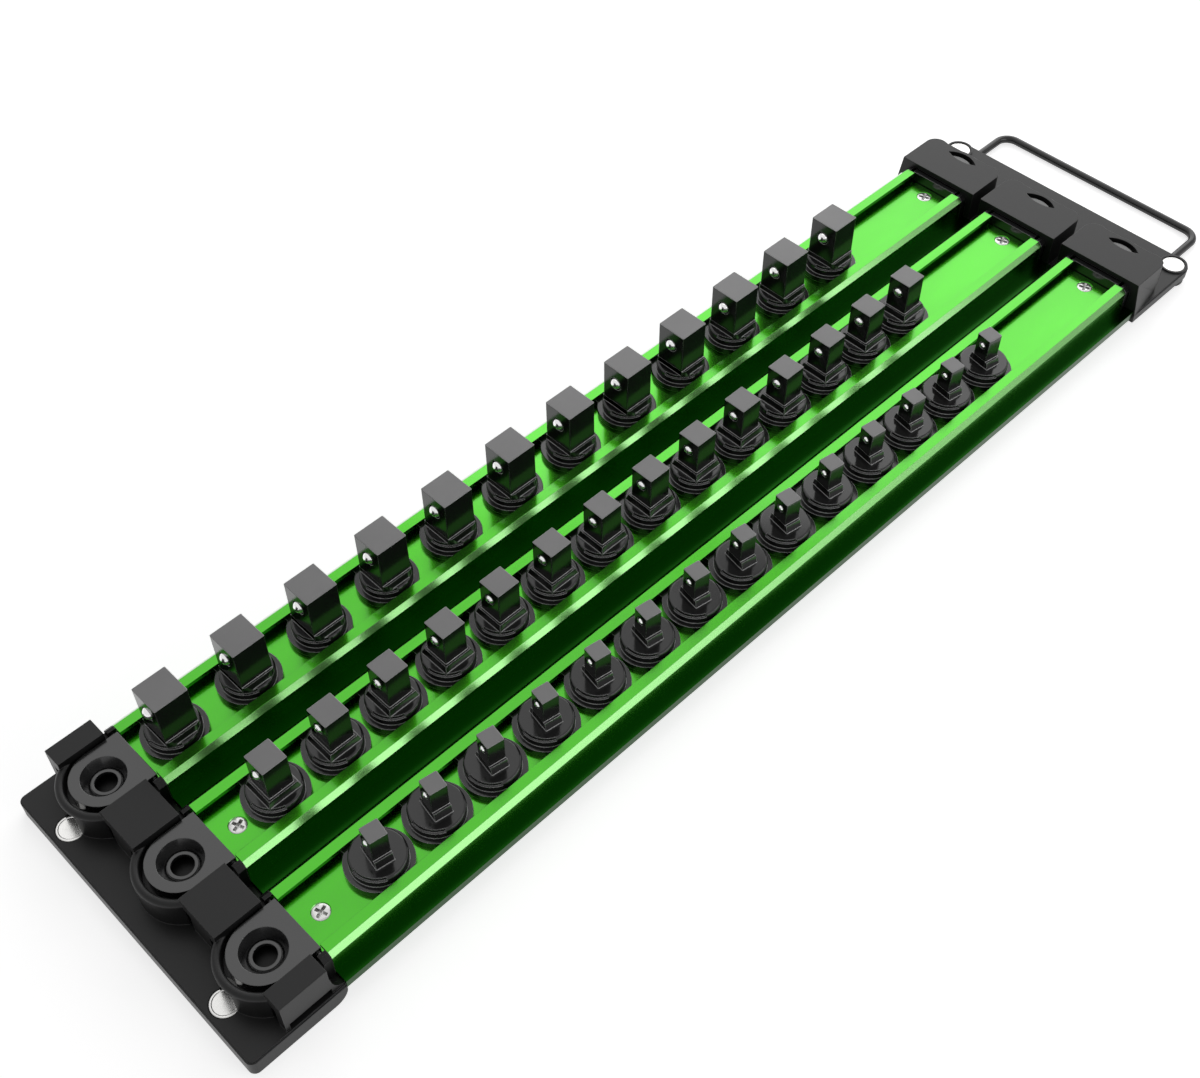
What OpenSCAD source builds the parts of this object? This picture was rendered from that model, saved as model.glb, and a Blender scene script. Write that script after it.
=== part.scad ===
// Socket organizer tray: three aluminium rails with sliding drive-stud clips on a flat base,
// held between two moulded end trays, with a wire carrying handle and magnets in the corners.
// +X runs along the rails towards the handle, +Z is up, and the origin is under the middle.

/* [Rails] */
// Length of each rail
rail_length = 408.5; // [395:0.5:480]
// Width of a rail over its walls
rail_width = 30.9; // [30.4:0.1:31.4]
// Height of a rail, from its feet to the top of its lips
rail_height = 10.4; // [9.8:0.1:12]
// Distance between the centre lines of two rails
rail_pitch = 41.2; // [40.5:0.1:46]
// Thickness of the rail's side walls
rail_wall = 1.7; // [1.3:0.1:1.8]
// Width of a lip, from the outer face of its wall
lip_width = 5.4; // [5.2:0.1:5.6]
// Thickness of a lip
lip_thickness = 1.5; // [1.2:0.1:1.7]
// Chamfer along the outer top edges of a rail
lip_chamfer = 1.7; // [0.8:0.1:1.9]
// Depth of the channel below the lips' top
channel_depth = 4.4; // [4.3:0.1:4.9]
// Thickness of the channel floor
floor_thickness = 1.6; // [1.2:0.1:1.9]

/* [Clips] */
// Side of the square stud on a half inch clip
half_inch_side = 12.5; // [12:0.1:12.7]
// Side of the square stud on a three-eighths inch clip
three_eighths_side = 9.4; // [9:0.1:9.5]
// Side of the square stud on a quarter inch clip
quarter_side = 6.4; // [6:0.1:6.5]
// Height of the half inch studs above the lips
half_inch_height = 20.8; // [20:0.1:28]
// Height of the three-eighths inch studs above the lips
three_eighths_height = 18.1; // [17:0.1:26]
// Height of the quarter inch studs above the lips
quarter_height = 15.1; // [14:0.1:24]
// Distance between two half inch clips
half_inch_pitch = 29.58; // [29:0.01:32]
// Distance between two three-eighths inch clips
three_eighths_pitch = 23.97; // [23.6:0.01:25]
// Distance between two quarter inch clips
quarter_pitch = 23.29; // [23.2:0.01:25]
// Place of the first half inch clip, from the rail's near end
half_inch_start = 13.5; // [13:0.1:30]
// Place of the first three-eighths inch clip, from the rail's near end
three_eighths_start = 22.7; // [13:0.1:40]
// Place of the first quarter inch clip, from the rail's near end
quarter_start = 30.4; // [13:0.1:50]
// Turn of the quarter inch clips about the vertical, in degrees
quarter_turn = -9.1; // [-20:0.1:20]
// Radius of a clip's foot flange
flange_r = 11.2; // [10.5:0.1:11.4]
// Thickness of a clip's foot flange
flange_thickness = 2.5; // [2:0.1:2.6]
// Radius of a clip's shoulder
shoulder_r = 9.3; // [9:0.1:9.8]
// Height of a clip's shoulder above the lips
shoulder_rise = 1.8; // [1.5:0.1:3.5]

/* [Base and trays] */
// Width of the base plate
base_width = 122.4; // [120:0.1:122.8]
// Width of the near tray
tray_width = 123; // [123:0.5:140]
// Width of the far tray's plate
far_width = 124; // [124:0.5:140]
// Thickness of the base plate
base_thickness = 3.4; // [3:0.1:6]
// Height of the hidden ledges that carry the base plate
ledge_height = 5.1; // [4.6:0.1:6]
// How far the ledges stand back from the outer edges
ledge_inset = 5; // [3:0.5:7]
// How far the ledges reach under the base plate
ledge_reach = 12; // [11:0.5:20]
// Length of the near tray, from the rails' end to its free edge
near_length = 35.2; // [34.5:0.1:50]
// Height of the trays' tops above the lips
hood_rise = 2.5; // [2:0.1:6]
// Gap between the rails' far end and the far tray's hoods
hood_gap = 2.8; // [2:0.1:4]
// Length of the far tray, from the hoods' front to its rear edge
far_length = 44.7; // [42:0.1:60]
// Half width of a far hood
hood_half_width = 18.6; // [18:0.1:19.2]

/* [Handle and magnets] */
// Diameter of the handle's wire
wire_d = 3.4; // [3:0.1:4]
// Half of the distance between the handle's legs
handle_half_span = 50.8; // [30:0.1:53]
// How far the handle stands out behind the far tray
handle_reach = 25.2; // [15:0.1:60]
// Inner bend radius of the handle's corners
handle_bend_r = 4.5; // [2:0.1:10]
// Radius of the near magnets
near_magnet_r = 4.8; // [3:0.1:5]
// Radius of the far magnets
far_magnet_r = 4.8; // [3:0.1:5.2]
// Thickness of the far magnets, which lie above the handle's legs
far_magnet_thickness = 3.2; // [2:0.1:3.2]

/* [Hidden] */
$fn = 64;
// Overrun of every cut, running clearance of what slides or turns, and gap of what is fitted
cut = 1;
slip = 0.3;
seat = 0.1;

// Numbers of clips in each row, and the centre line of each rail
half_inch_count = 12;
three_eighths_count = 14;
quarter_count = 14;
rail_rows = [1, 0, -1];

// Heights above the ground
deck_z = ledge_height + base_thickness;
plate_drop = 1.5;
plate_z = deck_z - plate_drop;
far_plate_low_z = 3;
lip_z = deck_z + rail_height;
channel_z = lip_z - channel_depth;
hood_z = lip_z + hood_rise;

// Places along X
overall_length = near_length + rail_length + hood_gap + far_length + handle_reach;
near_edge_x = -overall_length / 2;
near_x = near_edge_x + near_length;
far_x = near_x + rail_length;
hood_x = far_x + hood_gap;
far_edge_x = hood_x + far_length;

// Rails
rail_half = rail_width / 2;
channel_half = rail_half - rail_wall;
mouth_half = rail_half - lip_width;
near_screw_inset = 7.6;
far_screw_inset = 5.2;
screw_head_r = 3.1;
screw_shank_r = 1.25;
screw_length = 4.6;
recess_width = 0.8;
recess_depth = 1.1;
recess_reach = 2;

// End fittings and tongues, measured outwards from the rail's end
cup_u = 12.8;
tongue_half = 11;
tongue_thickness = 4.8;
tongue_root_u = 0.4;
hole_r = 3.7;
bevel_top_r = 7.4;
bevel_low_r = 5;
bevel_depth = 4;
collar_width = 1.1;
collar_drop = 3.4;
slot_width = 1.5;
fitting_floor = 4.4;
plug_length = 14;
cross_wall = 3.4;
wall_end_u = 20.8;
near_step_u = 3;
step_drop = 2.9;
trunnion_r = 1.1;
trunnion_u = 1.55;
trunnion_drop = 2.3;
trunnion_depth = 1.4;
wall_in = tongue_half + slot_width;

// Cups round the tongues
cup_gap = 1.4;
cup_in_r = tongue_half + cup_gap;
cup_wall = 3;
cup_out_r = cup_in_r + cup_wall;
cup_step = 1.8;
cup_low_r = cup_in_r - cup_step;
cup_step_drop = 5.2;
cup_slope = 4.4;
cup_rim = 1.6;

// Blocks between the near fittings
block_near_u = 4.4;
block_far_u = 21.3;
block_half = 8.9;
head_thickness = step_drop - slip;
end_stem_foot = 2.8;
end_stem_recess = 1.5;
end_block_margin = 1.1;
end_fillet_r = 8;
end_fillet_width = 1.6;

// Far hoods
lobe_r = 5.2;
lobe_u = 19.2;
lobe_fill_share = 0.9;
dip_r = 15;
dip_u = 17.9;
eye_r = 10;
eye_depth = 1.1;
flare_length = 18.6;

// Outer corners of the trays and pockets of the magnets
near_corner_r = 2.5;
far_corner_r = 6.2;
edge_chamfer = 0.5;
near_magnet_u = 28.7;
near_magnet_y = 40.6;
far_magnet_y = far_width / 2 - far_corner_r;
magnet_rim = 1;
magnet_rim_rise = 0.6;

// Handle
leg_depth = 10;
boss_half = 5;
bend_mid_r = handle_bend_r + wire_d / 2;
wire_z = wire_d / 2 + slip;
bar_x = far_edge_x + handle_reach - wire_d / 2;

// Tray screws, driven from below
tray_screw_u = 6;
tray_screw_shares = [-1.22, -0.5, 0.5, 1.22];
tray_screw_head_r = 2.8;
tray_screw_shank_r = 1.2;
tray_screw_length = 7.5;

// Clips
ear_reach = channel_half - slip;
ear_half = 6.5;
shoulder_round = 0.9;
foot_flare = 3.4;
foot_rim = 1.6;
stud_edge = 0.4;
stud_top_edge = 0.3;
ball_fit = 0.04;
notch_depth = 0.9;
notch_height = 1.3;
notch_angle = 75;
half_inch_foot = 2.2;
three_eighths_foot = 2.4;
quarter_foot = 3;

// Detent balls: radius, and how far below the stud's top
half_inch_ball = 2.4;
half_inch_ball_drop = 7;
three_eighths_ball = 1.75;
three_eighths_ball_drop = 5.5;
quarter_ball = 1.2;
quarter_ball_drop = 4;
ball_out_share = 0.5;

function two_digits(i) = str(i < 9 ? "0" : "", i + 1);
function clip_name(row, i) = str("clip_", row, "_", two_digits(i));

// A box from its lowest to its highest corner
module span(low, high) {
    translate(low) cube(high - low);
}

// Places its children at a rail's near or far end, with their own +X pointing away from the rail
module at_near_end(row) {
    translate([near_x, row * rail_pitch, 0]) mirror([1, 0, 0]) children();
}

module at_far_end(row) {
    translate([far_x, row * rail_pitch, 0]) children();
}

module both_sides() {
    children();
    mirror([0, 1, 0]) children();
}

// A flat slab with two round corners at its free end and a chamfer round its top edge
module tray_slab(length, half, low, high, corner_r) {
    module outline(margin) {
        translate([0, -half + margin]) square([length - corner_r, 2 * (half - margin)]);
        translate([0, -half + corner_r])
            square([length - margin, 2 * (half - corner_r)]);
        for (side = [-1, 1])
            translate([length - corner_r, side * (half - corner_r)]) circle(corner_r - margin);
    }
    translate([0, 0, low]) linear_extrude(high - low - edge_chamfer) outline(0);
    translate([0, 0, low]) linear_extrude(high - low) outline(edge_chamfer);
}

// Countersunk screw pointing down from the origin, and the hole that it goes through
module countersunk(head_r, shank_r, length, gap) {
    rotate_extrude()
        polygon([[0, 0], [head_r + gap, 0], [shank_r + gap, -(head_r - shank_r)],
                 [shank_r + gap, -length - gap], [0, -length - gap]]);
}

module countersunk_screw(head_r, shank_r, length) {
    difference() {
        countersunk(head_r, shank_r, length, 0);
        for (turn = [20, 110])
            rotate([0, 0, turn])
                span([-recess_reach, -recess_width / 2, -recess_depth],
                     [recess_reach, recess_width / 2, cut]);
    }
}

// Cross-section of a rail: a lipped channel above, and a hollow between two feet below
module rail_section() {
    difference() {
        polygon([[-rail_half, 0], [-rail_half, rail_height - lip_chamfer],
                 [-rail_half + lip_chamfer, rail_height], [rail_half - lip_chamfer, rail_height],
                 [rail_half, rail_height - lip_chamfer], [rail_half, 0]]);
        translate([-channel_half, rail_height - channel_depth])
            square([2 * channel_half, channel_depth - lip_thickness]);
        translate([-mouth_half, rail_height - lip_thickness - cut])
            square([2 * mouth_half, lip_thickness + 2 * cut]);
        translate([-channel_half, -cut])
            square([2 * channel_half,
                    rail_height - channel_depth - floor_thickness + cut]);
    }
}

module rail(row) {
    color("limegreen")
    difference() {
        translate([near_x, row * rail_pitch, deck_z])
            rotate([90, 0, 90]) linear_extrude(rail_length) rail_section();
        for (x = [near_x + near_screw_inset, far_x - far_screw_inset])
            translate([x, row * rail_pitch, channel_z])
                countersunk(screw_head_r, screw_shank_r, screw_length, seat / 2);
    }
}

// Carries the rails, and lies on the ledges of both trays
module base_plate() {
    color([0.05, 0.2, 0.05])
    difference() {
        span([near_x + seat, -base_width / 2, ledge_height],
             [hood_x - seat, base_width / 2, deck_z]);
        tray_screw_places()
            translate([0, 0, -seat])
                cylinder(r = tray_screw_shank_r + seat / 2, h = tray_screw_length + 2 * seat);
    }
}

// The cup's raised half ring round a tongue's end, clear of the fitting's two side walls
module cup(top_z) {
    difference() {
        translate([cup_u, 0, 0]) rotate_extrude() {
            translate([cup_low_r, plate_z])
                square([cup_out_r - cup_low_r, lip_z - cup_step_drop - plate_z]);
            translate([cup_in_r, plate_z]) square([cup_wall, lip_z - cup_wall / 2 - plate_z]);
            translate([cup_in_r + cup_wall / 2, lip_z - cup_wall / 2]) circle(d = cup_wall);
            if (top_z > lip_z)
                polygon([[eye_r + cup_rim / 2, plate_z], [eye_r + cup_rim / 2, top_z],
                         [eye_r + cup_rim, top_z], [cup_out_r, top_z - cup_slope],
                         [cup_out_r, plate_z]]);
        }
        span([cup_u - cup_out_r - cut, -cup_out_r - cut, 0],
             [cup_u, cup_out_r + cut, hood_z + cut]);
        both_sides()
            span([0, wall_in - slip, 0], [wall_end_u + slip, cup_out_r + cut, hood_z + cut]);
    }
}

// A block between two near fittings: a stem, with a head that overhangs the fittings' walls
module block(y_from, y_to, stem_from, stem_to) {
    span([block_near_u, y_from, lip_z - head_thickness], [block_far_u, y_to, hood_z]);
    span([block_near_u, stem_from, plate_z - edge_chamfer], [block_far_u, stem_to, hood_z]);
}

// Half a block at the tray's side, with a recessed band at its foot and a curved end
module end_block() {
    outer = tray_width / 2 - end_block_margin;
    inner = rail_pitch + rail_half + slip;
    difference() {
        block(rail_pitch + rail_pitch / 2 - block_half, outer, inner, outer);
        span([block_near_u - cut, outer - end_stem_recess, plate_z],
             [block_far_u - end_stem_recess, outer + cut, plate_z + end_stem_foot]);
    }
    // The curved end runs down to the tray's edge beside the rail
    translate([block_near_u, outer - end_fillet_width, plate_z]) rotate([90, 0, 0])
        mirror([0, 0, 1]) linear_extrude(end_fillet_width)
            difference() {
                translate([-block_near_u, -edge_chamfer])
                    square([block_near_u, end_fillet_r + edge_chamfer]);
                translate([-block_near_u, end_fillet_r])
                    scale([block_near_u / end_fillet_r, 1]) circle(end_fillet_r - edge_chamfer);
            }
}

module near_tray_body() {
    difference() {
        tray_slab(near_length, tray_width / 2, 0, plate_z, near_corner_r);
        // Each side turns up to the base plate's lower edge at the rails' end
        both_sides() translate([0, tray_width / 2 + cut, 0]) rotate([90, 0, 0])
            linear_extrude(ledge_inset + cut) difference() {
                translate([-cut, -cut]) square(ledge_height + cut);
                translate([ledge_height, ledge_height]) circle(ledge_height);
            }
    }
    span([-ledge_reach, -tray_width / 2 + ledge_inset, 0],
         [cut, tray_width / 2 - ledge_inset, ledge_height]);
    for (row = rail_rows) translate([0, row * rail_pitch, 0]) cup(lip_z);
    both_sides() {
        block(rail_pitch / 2 - block_half, rail_pitch / 2 + block_half,
              rail_half + slip, rail_pitch - rail_half - slip);
        end_block();
    }
}

// Moulded tray that holds the near fittings
module near_end_tray() {
    color([0.16, 0.16, 0.16])
    difference() {
        at_near_end(0) near_tray_body();
        near_magnet_places() {
            translate([0, 0, -cut]) cylinder(r = near_magnet_r + seat, h = plate_z + 2 * cut);
            translate([0, 0, plate_z])
                cylinder(r = near_magnet_r + seat, h = lip_z - cup_wall / 2 - plate_z);
        }
        near_tray_screw_places() screw_well();
    }
}

// A far hood: a cap over the fitting with two round lobes, and the cup's rim behind it
module hood_outline() {
    difference() {
        union() {
            translate([hood_gap, -hood_half_width])
                square([lobe_u - hood_gap, 2 * hood_half_width]);
            translate([lobe_u - cut, -hood_half_width + lobe_r])
                square([cut + lobe_r * lobe_fill_share, 2 * (hood_half_width - lobe_r)]);
            for (side = [-1, 1])
                translate([lobe_u, side * (hood_half_width - lobe_r)]) circle(lobe_r);
        }
        hood_eye();
    }
}

// The eye in a hood's top, through which the tongue's tip shows
module hood_eye() {
    intersection() {
        translate([cup_u, 0]) circle(eye_r);
        translate([dip_u + dip_r, 0]) circle(dip_r);
    }
}

module hood() {
    difference() {
        union() {
            translate([0, 0, plate_z - edge_chamfer])
                linear_extrude(hood_z - plate_z + edge_chamfer) hood_outline();
            cup(hood_z);
        }
        // Room for the fitting, its floor and its tongue
        both_sides()
            span([0, 0, plate_z], [wall_end_u + slip, rail_half + slip, lip_z - head_thickness]);
        span([0, -wall_in, plate_z], [cup_u, wall_in, lip_z + slip]);
        translate([cup_u, 0, plate_z]) {
            cylinder(r = cup_low_r, h = lip_z - plate_z);
            translate([0, 0, lip_z - plate_z - cup_step_drop])
                cylinder(r = cup_in_r, h = cup_step_drop + slip);
        }
    }
    cup(lip_z - slip - cut);
}

// The outer hoods' sides flare out to the plate's edge at their front foot
module hood_flare() {
    y = rail_pitch + hood_half_width;
    out = far_width / 2 - y;
    translate([hood_gap, y, plate_z - edge_chamfer])
        polyhedron(points = [[0, 0, 0], [flare_length, 0, 0], [0, out, 0],
                             [0, 0, hood_z - plate_z + edge_chamfer]],
                   faces = [[0, 1, 2], [0, 2, 3], [0, 3, 1], [1, 3, 2]]);
}

module far_tray_body() {
    translate([hood_gap, 0, 0])
        tray_slab(far_length, far_width / 2, far_plate_low_z, plate_z, far_corner_r);
    span([hood_gap - ledge_reach, -tray_width / 2 + ledge_inset, 0],
         [hood_gap + cut, tray_width / 2 - ledge_inset, ledge_height]);
    span([hood_gap - cut, -tray_width / 2 + ledge_inset, 0],
         [hood_gap + far_length - far_corner_r, tray_width / 2 - ledge_inset,
          far_plate_low_z + cut]);
    for (row = rail_rows) translate([0, row * rail_pitch, 0]) hood();
    both_sides() {
        hood_flare();
        span([hood_gap + far_length - leg_depth - wire_d, handle_half_span - boss_half, 0],
             [hood_gap + far_length - edge_chamfer, handle_half_span + boss_half,
              far_plate_low_z + cut]);
        translate([hood_gap + far_length - far_corner_r, far_magnet_y, 0])
            cylinder(r = far_magnet_r + magnet_rim, h = plate_z + magnet_rim_rise);
    }
}

// Moulded tray that holds the far fittings and the handle
module far_end_tray() {
    color([0.2, 0.2, 0.2])
    difference() {
        at_far_end(0) far_tray_body();
        far_magnet_places()
            translate([0, 0, -seat]) cylinder(r = far_magnet_r + seat, h = plate_z);
        far_tray_screw_places() screw_well();
        // Grooves that the handle's legs are pressed into from below
        both_sides() translate([far_edge_x - leg_depth - seat, handle_half_span, wire_z]) {
            rotate([0, 90, 0]) cylinder(d = wire_d + seat, h = leg_depth + seat + cut);
            span([0, -wire_d / 2, -wire_z - cut], [leg_depth + seat + cut, wire_d / 2, 0]);
        }
    }
}

module near_magnet_places() {
    for (side = [-1, 1])
        translate([near_x - near_magnet_u, side * near_magnet_y, 0]) children();
}

module far_magnet_places() {
    for (side = [-1, 1])
        translate([far_edge_x - far_corner_r, side * far_magnet_y,
                   plate_z + magnet_rim_rise / 2 - far_magnet_thickness]) children();
}

module near_magnets() {
    color("silver") near_magnet_places() cylinder(r = near_magnet_r, h = plate_z);
}

module far_magnets() {
    color("silver") far_magnet_places()
        cylinder(r = far_magnet_r, h = far_magnet_thickness);
}

module near_tray_screw_places() {
    for (share = tray_screw_shares)
        translate([near_x + tray_screw_u, share * rail_pitch, 0]) children();
}

module far_tray_screw_places() {
    for (share = tray_screw_shares)
        translate([far_x - tray_screw_u, share * rail_pitch, 0]) children();
}

module tray_screw_places() {
    near_tray_screw_places() children();
    far_tray_screw_places() children();
}

module screw_well() {
    mirror([0, 0, 1])
        countersunk(tray_screw_head_r, tray_screw_shank_r, tray_screw_length, seat / 2);
}

module tray_screws() {
    color("dimgray") tray_screw_places() mirror([0, 0, 1])
        countersunk_screw(tray_screw_head_r, tray_screw_shank_r, tray_screw_length);
}

module rail_screws() {
    color("silver")
    for (row = rail_rows, x = [near_x + near_screw_inset, far_x - far_screw_inset])
        translate([x, row * rail_pitch, channel_z])
            countersunk_screw(screw_head_r, screw_shank_r, screw_length);
}

// Steel wire bent into a flat bail
module handle() {
    leg_end_x = bar_x - bend_mid_r;
    color([0.1, 0.1, 0.1]) {
        both_sides() {
            translate([far_edge_x - leg_depth, handle_half_span, wire_z]) rotate([0, 90, 0])
                cylinder(d = wire_d, h = leg_end_x - far_edge_x + leg_depth);
            translate([leg_end_x, handle_half_span - bend_mid_r, wire_z])
                rotate_extrude(angle = 90) translate([bend_mid_r, 0]) circle(d = wire_d);
        }
        translate([bar_x, -handle_half_span + bend_mid_r, wire_z]) rotate([-90, 0, 0])
            cylinder(d = wire_d, h = 2 * (handle_half_span - bend_mid_r));
    }
}

// The plug, floor and side walls of an end fitting
module fitting_body(screw_inset, step_u) {
    difference() {
        union() {
            span([-plug_length, -channel_half + seat, deck_z],
                 [tongue_root_u, channel_half - seat,
                  channel_z - floor_thickness - seat / 2]);
            span([seat, -rail_half, plate_z], [cup_u, rail_half, plate_z + fitting_floor]);
            translate([cup_u, 0, plate_z]) cylinder(r = cup_low_r - slip, h = fitting_floor);
            span([seat, -wall_in, plate_z],
                 [seat + cross_wall, wall_in, lip_z - tongue_thickness - slip]);
            both_sides() {
                span([seat, wall_in, plate_z], [wall_end_u, rail_half, lip_z - step_drop]);
                translate([seat, 0, lip_z]) rotate([90, 0, 90]) linear_extrude(step_u - seat)
                    polygon([[wall_in, plate_z - lip_z], [wall_in, 0],
                             [rail_half - lip_chamfer, 0], [rail_half, -lip_chamfer],
                             [rail_half, plate_z - lip_z]]);
            }
        }
        translate([-screw_inset, 0, channel_z])
            countersunk(screw_head_r, screw_shank_r, screw_length + cut, seat / 2);
        span([cup_u, -rail_half - cut, plate_z - cut],
             [cup_u + cup_low_r, -wall_in + slip, plate_z + fitting_floor + cut]);
    }
}

// The tongue's flat plate, with a bevelled finger hole and a low collar round its bore
module tongue_plate() {
    top = lip_z;
    difference() {
        union() {
            span([tongue_root_u, -tongue_half, top - tongue_thickness], [cup_u, tongue_half, top]);
            translate([cup_u, 0, top - tongue_thickness])
                cylinder(r = tongue_half, h = tongue_thickness);
        }
        translate([cup_u, 0, top - tongue_thickness - cut])
            cylinder(r = hole_r, h = tongue_thickness + 2 * cut);
        translate([cup_u, 0, top]) rotate_extrude()
            polygon([[hole_r + collar_width, cut], [bevel_top_r + cut, cut], [bevel_top_r, 0],
                     [bevel_low_r, -bevel_depth], [hole_r + collar_width, -bevel_depth]]);
        translate([cup_u, 0, top - collar_drop])
            cylinder(r = hole_r + collar_width + slip / 4, h = collar_drop + cut);
    }
}

module near_fitting(row) {
    color([0.35, 0.35, 0.35])
    at_near_end(row) difference() {
        fitting_body(near_screw_inset, near_step_u);
        both_sides()
            translate([trunnion_u, 0, lip_z - trunnion_drop]) rotate([-90, 0, 0])
                cylinder(r = trunnion_r + seat, h = wall_in + trunnion_depth + seat);
    }
}

// The far fitting has a fixed tongue, whose raised tip fills the hood's eye, and it stands with
// its heel on the base plate's end
module far_fitting(row) {
    color([0.35, 0.35, 0.35])
    at_far_end(row) {
        difference() {
            fitting_body(far_screw_inset, hood_gap - seat);
            span([-cut, -rail_half - cut, plate_z - cut], [hood_gap, rail_half + cut, deck_z]);
        }
        tongue_plate();
        span([tongue_root_u, -tongue_half, lip_z - tongue_thickness - slip],
             [seat + cross_wall, tongue_half, lip_z - slip]);
        translate([0, 0, lip_z - seat]) linear_extrude(hood_rise - eye_depth + seat)
            intersection() {
                translate([cup_u, 0]) circle(eye_r - cup_gap);
                translate([dip_u + dip_r, 0]) circle(dip_r - slip);
            }
    }
}

// Release tongue that turns up on two trunnions in the near fitting's walls
module release_tongue(row) {
    color([0.3, 0.3, 0.3])
    at_near_end(row) {
        tongue_plate();
        translate([trunnion_u, 0, lip_z - trunnion_drop]) rotate([90, 0, 0])
            cylinder(r = trunnion_r, h = 2 * (wall_in + trunnion_depth), center = true);
    }
}

// Square stud with broken edges, its foot at the origin
module stud(side, height) {
    module square_with_broken_corners(width, edge) {
        half = width / 2;
        polygon([[half, half - edge], [half - edge, half], [-half + edge, half],
                 [-half, half - edge], [-half, -half + edge], [-half + edge, -half],
                 [half - edge, -half], [half, -half + edge]]);
    }
    linear_extrude(height - stud_top_edge) square_with_broken_corners(side, stud_edge);
    linear_extrude(height)
        square_with_broken_corners(side - 2 * stud_top_edge, stud_edge);
}

// Foot that flares from the stud down to the shoulder, on all four sides or on two
module stud_foot(side, height, four_sided) {
    module trapezoid(rim, flare) {
        top = (side + rim) / 2;
        low = (side + flare) / 2;
        polygon([[-low, 0], [-top, height], [top, height], [low, 0]]);
    }
    intersection() {
        rotate([90, 0, 0]) linear_extrude(2 * side, center = true)
            trapezoid(four_sided ? foot_rim : 0, four_sided ? foot_flare : 0);
        rotate([90, 0, 90]) linear_extrude(2 * side, center = true)
            trapezoid(foot_rim, foot_flare);
        cylinder(r = shoulder_r - slip, h = height);
    }
}

// Foot flange with two ears that lie under the lips
module flange() {
    cylinder(r = flange_r, h = flange_thickness);
    intersection() {
        cylinder(r = ear_reach, h = flange_thickness);
        translate([-ear_half, -ear_reach, 0])
            cube([2 * ear_half, 2 * ear_reach, flange_thickness]);
    }
}

// Round shoulder with a rounded rim and a stepped mark at one side
module shoulder(height) {
    difference() {
        rotate_extrude() {
            square([shoulder_r - shoulder_round, height]);
            square([shoulder_r, height - shoulder_round]);
            translate([shoulder_r - shoulder_round, height - shoulder_round])
                circle(shoulder_round);
        }
        translate([0, 0, height - notch_height]) rotate([0, 0, 180])
            rotate_extrude(angle = notch_angle)
                translate([shoulder_r - notch_depth, 0]) square([notch_depth + cut,
                                                                 notch_height + cut]);
    }
}

// A drive-stud clip and its detent balls; faces lists the sides that show a ball
module clip(x, row, side, height, foot, ball_r, ball_drop, faces, turn) {
    shoulder_height = channel_depth + shoulder_rise;
    ball_z = channel_depth + height - ball_drop;
    ball_reach = side / 2 - ball_r * (1 - ball_out_share);
    translate([near_x + x, row * rail_pitch, channel_z]) {
        color([0.12, 0.12, 0.12]) {
            flange();
            rotate([0, 0, turn]) {
                shoulder(shoulder_height);
                difference() {
                    union() {
                        stud(side, channel_depth + height);
                        translate([0, 0, shoulder_height])
                            stud_foot(side, foot, len(faces) > 1);
                    }
                    for (face = faces)
                        translate([face * ball_reach, 0, ball_z]) sphere(ball_r + ball_fit);
                }
            }
        }
        color("silver") rotate([0, 0, turn])
            for (face = faces)
                translate([face * ball_reach, 0, ball_z]) sphere(ball_r);
    }
}

module clip_half_inch(i) {
    clip(half_inch_start + i * half_inch_pitch, rail_rows[0], half_inch_side, half_inch_height,
         half_inch_foot, half_inch_ball, half_inch_ball_drop, [-1], 0);
}

module clip_three_eighths(i) {
    clip(three_eighths_start + i * three_eighths_pitch, rail_rows[1], three_eighths_side,
         three_eighths_height, three_eighths_foot, three_eighths_ball,
         three_eighths_ball_drop, [-1, 1], 0);
}

module clip_quarter(i) {
    clip(quarter_start + i * quarter_pitch, rail_rows[2], quarter_side, quarter_height,
         quarter_foot, quarter_ball, quarter_ball_drop, [-1], quarter_turn);
}

base_plate();
near_end_tray();
far_end_tray();
handle();
near_magnets();
far_magnets();
rail(rail_rows[0]);  // rail_half_inch
rail(rail_rows[1]);  // rail_three_eighths
rail(rail_rows[2]);  // rail_quarter
near_fitting(rail_rows[0]);  // near_fitting_half_inch
near_fitting(rail_rows[1]);  // near_fitting_three_eighths
near_fitting(rail_rows[2]);  // near_fitting_quarter
far_fitting(rail_rows[0]);  // far_fitting_half_inch
far_fitting(rail_rows[1]);  // far_fitting_three_eighths
far_fitting(rail_rows[2]);  // far_fitting_quarter
release_tongue(rail_rows[0]);  // release_tongue_half_inch
release_tongue(rail_rows[1]);  // release_tongue_three_eighths
release_tongue(rail_rows[2]);  // release_tongue_quarter
rail_screws();
tray_screws();
for (i = [0 : half_inch_count - 1])
    clip_half_inch(i);
for (i = [0 : three_eighths_count - 1])
    clip_three_eighths(i);
for (i = [0 : quarter_count - 1])
    clip_quarter(i);
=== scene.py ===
"""Looks of the socket rail tray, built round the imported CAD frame.

The rails, trays, fittings, tongues, base plate, handle and tray screws keep their CAD solids and
get procedural materials. The clips, their detent balls, the rail screws and the magnets are finer
pieces of their own. Lengths are in mm and angles in degrees where nothing else is said.
"""
import math

import bmesh
import bpy
from mathutils import Matrix, Vector


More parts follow.
